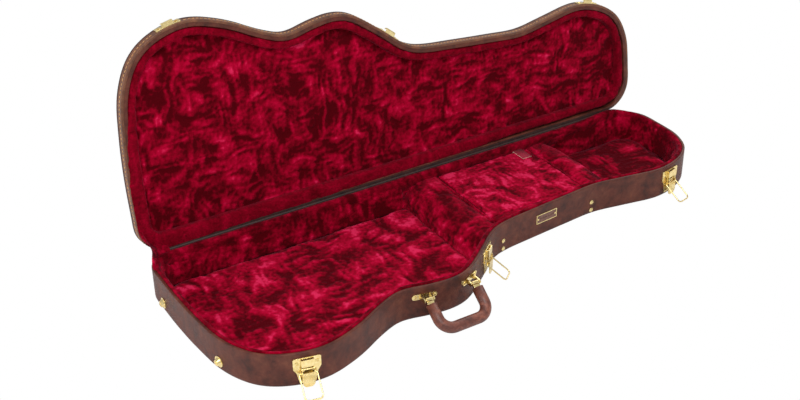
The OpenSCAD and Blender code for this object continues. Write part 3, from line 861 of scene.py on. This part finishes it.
def make_base_plush():
    """Lining, boards' covers and cushions of the wells, compartment and flap."""
    floor = ((0, 0, SHEET), (0, 0, -1))
    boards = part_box("partition_boards")
    heel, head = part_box("heel_wedge"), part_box("head_wedge")
    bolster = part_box("body_bolster")

    def reach_heel(co):
        """Runs the bolster's hinge-side end on into the heel cushion."""
        last = (np.abs(co[:, 0] - bolster[1].x) < 1 * MM) & (co[:, 1] > 0.15)
        co[last, 0] = heel[0].x + 6 * MM
        return co

    def raise_boards(co):
        """Brings the boards' tops up level with the cushions beside them."""
        co[co[:, 2] > boards[1].z - 1 * MM, 2] = heel[1].z - 0.4 * MM
        return co

    # the lining's low tone partly paints the shade on the head well's walls
    soft("side_lining", ["wall_lining", "body_bolster", "headstock_bolster"], "base",
         4 * MM, 2.4 * MM, smooth=3, size=30 * MM, tone=0.24, contrast=1.3,
         reshape=reach_heel)
    soft("board_cover", ["partition_boards"], "base", 2.6 * MM, 0.6 * MM, smooth=2,
         shrink=0.2 * MM, size=30 * MM, tone=0.36, reshape=raise_boards)
    # the bed's high contrast paints strong sheen streaks with shade between them
    soft("body_cushion", ["body_bed"], "base", 4 * MM, 3.2 * MM, cap=5 * MM, grow=2 * MM,
         size=34 * MM, tone=0.4, contrast=1.6, back=floor,
         reshape=spread("body_bed", heel[0].x - 4 * MM, heel[0].x + 8 * MM))
    soft("heel_cushion", ["heel_wedge"], "base", 4.5 * MM, 3 * MM, cap=4 * MM, smooth=5,
         size=30 * MM, tone=0.31, contrast=1.3,
         reshape=spread("heel_wedge", heel[1].x - 0.1 * MM, heel[1].x + 2.6 * MM))
    soft("head_cushion", ["head_wedge"], "base", 4.5 * MM, 3 * MM, cap=4 * MM, smooth=5,
         size=30 * MM, tone=0.34, contrast=1.3,
         reshape=spread("head_wedge", head[0].x + 0.1 * MM, head[0].x - 2.6 * MM))
    # its low tone paints the shade that falls in the head well
    soft("headstock_cushion", ["headstock_bed"], "base", 4 * MM, 2.4 * MM, cap=4 * MM,
         size=30 * MM, tone=0.16, contrast=1.3, back=floor,
         reshape=spread("headstock_bed", head[1].x + 4 * MM, head[1].x - 8 * MM, 6 * MM))
    soft("block_front_cushion", ["block_front_pad", "compartment_tape"], "base", 3 * MM,
         1.6 * MM, smooth=2, size=30 * MM, tone=0.46)
    soft("block_back_cushion", ["block_back_pad"], "base", 3 * MM, 1.4 * MM, smooth=2,
         size=30 * MM, tone=0.4)
    soft("compartment_carpet", ["compartment_floor"], "base", 3 * MM, 0.8 * MM, smooth=2,
         back=floor)
    soft("flap_cushion", ["compartment_lid_plush", "compartment_lid_board"], "flap",
         2.6 * MM, 1.4 * MM, smooth=2, shrink=0.2 * MM, size=26 * MM, tone=0.58, contrast=1.5,
         back=((0, 0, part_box("compartment_lid_board")[0].z), (0, 0, -1)))


def make_lid_plush():
    """The lid's rolled border and its broad panel."""
    def cover(co):
        """Spreads the border over the rim where the band isn't bare."""
        closed = moved(co, OPENED.inverted())
        inside, inward = depth(closed[:, :2])
        outer = np.abs(inside - LID_BAND) < 2 * MM
        shift = covered_rim(*closed[:, :2].T) - LID_BAND
        shift = np.where(shift < -0.1 * MM, shift - 2.5 * MM, 0) * outer
        closed[:, :2] += inward * shift[:, None]
        mouth = closed[:, 2] < LID_Z + 3 * MM
        closed[:, 2] -= np.where(mouth & (shift < 0), 4 * MM, 0)
        return moved(closed, OPENED)

    def tuck(co):
        """Keeps the border inside the shell and off the base's rim."""
        closed = moved(co, OPENED.inverted())
        inside, inward = depth(closed[:, :2])
        out = np.maximum(1.2 * MM - inside, 0)
        closed[:, :2] += inward * out[:, None]
        closed[:, 2] = np.maximum(closed[:, 2], LID_Z - 0.35 * MM)
        return moved(closed, OPENED)

    def tuck_under(co):
        """Runs the panel's edge on under the border."""
        closed = moved(co, OPENED.inverted())
        inside, inward = depth(closed[:, :2])
        closed[:, :2] -= inward * (inside - LID_BAND - LID_BORDER + 7 * MM)[:, None]
        return moved(closed, OPENED)

    soft("lid_border_roll", ["lid_border_pad"], "lid", 4 * MM, 1.2 * MM, smooth=2,
         shrink=0.2 * MM, size=26 * MM, tone=0.27, contrast=0.4, reshape=cover, keep=tuck)
    plane = OPENED @ Vector((0, 0, LID_TOP - SHEET))
    outward = OPENED.to_3x3() @ Vector((0, 0, 1))
    soft("lid_panel_plush", ["lid_panel_pad"], "lid", 5 * MM, 3.2 * MM, smooth=2,
         grow=1.2 * MM, size=26 * MM, tone=0.27, contrast=1.4, reshape=tuck_under,
         back=(plane, outward))


def make_corner_web():
    """Plush web that joins the lid's border to the base's lining at the lower-bout corner."""
    spots = [
        i for i, (x, y) in enumerate(RING) if x < -0.472 and y > LID_AXIS.y - 0.052
    ]
    spots.sort(key=lambda i: RING[i][1])
    steps, overlap = 20, math.radians(3)
    outer, inner = 1.4 * MM, 7.4 * MM
    verts = []
    for s in (outer, inner):
        for i in spots:
            x, y = RING[i] + INWARD[i] * s
            arm = y - LID_AXIS.y
            for angle in np.linspace(-overlap, LID_OPEN + overlap, steps + 1):
                chord = math.cos(LID_OPEN / 2) / math.cos(angle - LID_OPEN / 2)
                r = arm * (1 + 0.8 * (min(chord, 1) - 1))
                verts.append((
                    x,
                    LID_AXIS.y + r * math.cos(angle),
                    LID_AXIS.z - r * math.sin(angle),
                ))
    n, m = len(spots), steps + 1
    faces = []
    for i in range(n - 1):
        for k in range(steps):
            a = i * m + k
            b = n * m + a
            faces += [(a, a + 1, a + m + 1, a + m), (b, b + m, b + m + 1, b + 1)]
    rim = list(range(m))
    rim += [i * m + m - 1 for i in range(1, n)]
    rim += [(n - 1) * m + k for k in reversed(range(m - 1))]
    rim += [i * m for i in reversed(range(1, n - 1))]
    for a, b in zip(rim, rim[1:] + rim[:1]):
        faces.append((a, n * m + a, n * m + b, b))
    web = new_piece("corner_web", verts, faces, PLUSH)
    finer = web.modifiers.new("finer", "SUBSURF")
    finer.levels = finer.render_levels = 1
    apply_modifiers(web)
    crush(web, 1.6 * MM, 0, 24 * MM, tone=0.34)
    reach, margin = 0.045, 0.2
    start, end = (
        Vector((0, LID_AXIS.y - reach * math.cos(turn), LID_AXIS.z + reach * math.sin(turn)))
        for turn in (margin, LID_OPEN - margin)
    )
    # where the closing lid would push the web out through the wall, it is drawn inwards
    co = coordinates(web.data)
    span = np.array(end - start)
    share = np.clip((co - np.array(start)) @ span / (span @ span), 0, 1)
    share = (share**2 * (3 - 2 * share))[:, None]
    for _ in range(12):
        closed = (1 - share) * co + share * moved(co, OPENED.inverted())
        inside, inward = depth(closed[:, :2])
        co[:, :2] += inward * np.maximum(outer - inside, 0)[:, None]
    set_coordinates(web.data, co)
    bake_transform(web)


# ---------------------------------------------------------------- hardware
def finish_hard(node, material, width=0.25 * MM, angle=35):
    """Carried-over CAD node: clean normals, softened edges and its own material."""
    obj = frame["nodes"][node]
    me = obj.data
    me.materials.clear()
    me.materials.append(material)
    if "custom_normal" in me.attributes:
        me.attributes.remove(me.attributes["custom_normal"])
    me.polygons.foreach_set("use_smooth", [True] * len(me.polygons))
    me.set_sharp_from_angle(angle=math.radians(angle))
    weld = obj.modifiers.new("weld", "WELD")
    weld.merge_threshold = 2e-6
    if width:
        bevel = obj.modifiers.new("edges", "BEVEL")
        bevel.width = width
        bevel.segments = 2
        bevel.limit_method = "ANGLE"
        bevel.angle_limit = math.radians(angle)
        bevel.harden_normals = True


def second_material(node, material, chosen):
    """Puts a second material on the faces that chosen picks."""
    me = frame["nodes"][node].data
    me.materials.append(material)
    for face in me.polygons:
        if chosen(face):
            face.material_index = 1


def in_field(face, middle):
    """Whether the face lies inside the badge's border."""
    offset = face.center - middle
    return abs(offset.x) < 22 * MM and abs(offset.z) < 7.4 * MM


def make_hardware():
    """Materials and softened edges for the CAD nodes that stay visible."""
    for node in ("hinge_leaves_base", "hinge_pins", "hinge_rivets_base", "latch_plates",
                 "latch_pins", "latch_screws", "handle_brackets", "handle_screws", "end_feet",
                 "end_foot_screws", "partition_rivets", "badge_plate", "badge_pins",
                 "hinge_leaves_lid", "hinge_rivets_lid", "lid_catches", "catch_screws",
                 "latch_lever_body", "latch_bail_body", "latch_lever_waist",
                 "latch_bail_waist", "latch_lever_head", "latch_bail_head", "handle_eyes"):
        finish_hard(node, BRASS)
    for node in ("base_board", "flap_cleats", "lid_board"):
        finish_hard(node, PLYWOOD, 0.4 * MM)
    finish_hard("handle_core", BRASS, 0)
    finish_hard("handle_wrap", LEATHER, 0)
    finish_hard("pull_tab", TAB_CLOTH, 0)
    second_material("pull_tab", RAW_EDGE, lambda face: abs(face.normal.z) < 0.5)
    middle = sum(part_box("badge_plate"), Vector()) / 2
    second_material(
        "badge_plate", BADGE,
        lambda face: face.normal.y < -0.8 and in_field(face, middle),
    )


PLUSH = plush_material()
VINYL = vinyl_material()
# the lid's covering, painted lighter than the base's to stand for the light from above
SIDE_VINYL = side_vinyl_material()
LEATHER = leather_material()
BRASS = brass_material()
PLYWOOD = plywood_material()
# the tape at the hinges, the badge's enamel, the stitches, the tab's cloth and cut edges
DARK_VINYL = plain_material("dark_vinyl", 12 * MM, (30, 13, 12), (58, 30, 25), 0.6)
BADGE = plain_material("badge_field", 6 * MM, (92, 58, 48), (122, 82, 68), 0.5)
THREAD = plain_material("thread", 0.9 * MM, (176, 124, 70), (224, 176, 116), 0.6)
TAB_CLOTH = plain_material("tab_cloth", 2 * MM, (112, 8, 30), (168, 34, 62), 0.85)
RAW_EDGE = plain_material("raw_edge", 1 * MM, (196, 146, 132), (232, 196, 182), 0.8)

make_camera()
make_studio()
make_base_shell()
make_lid_shell()
make_lid_rim()
make_lid_piping()
make_stitches()
make_hinge_cover()
make_valance()
make_base_plush()
make_lid_plush()
make_corner_web()
make_hardware()
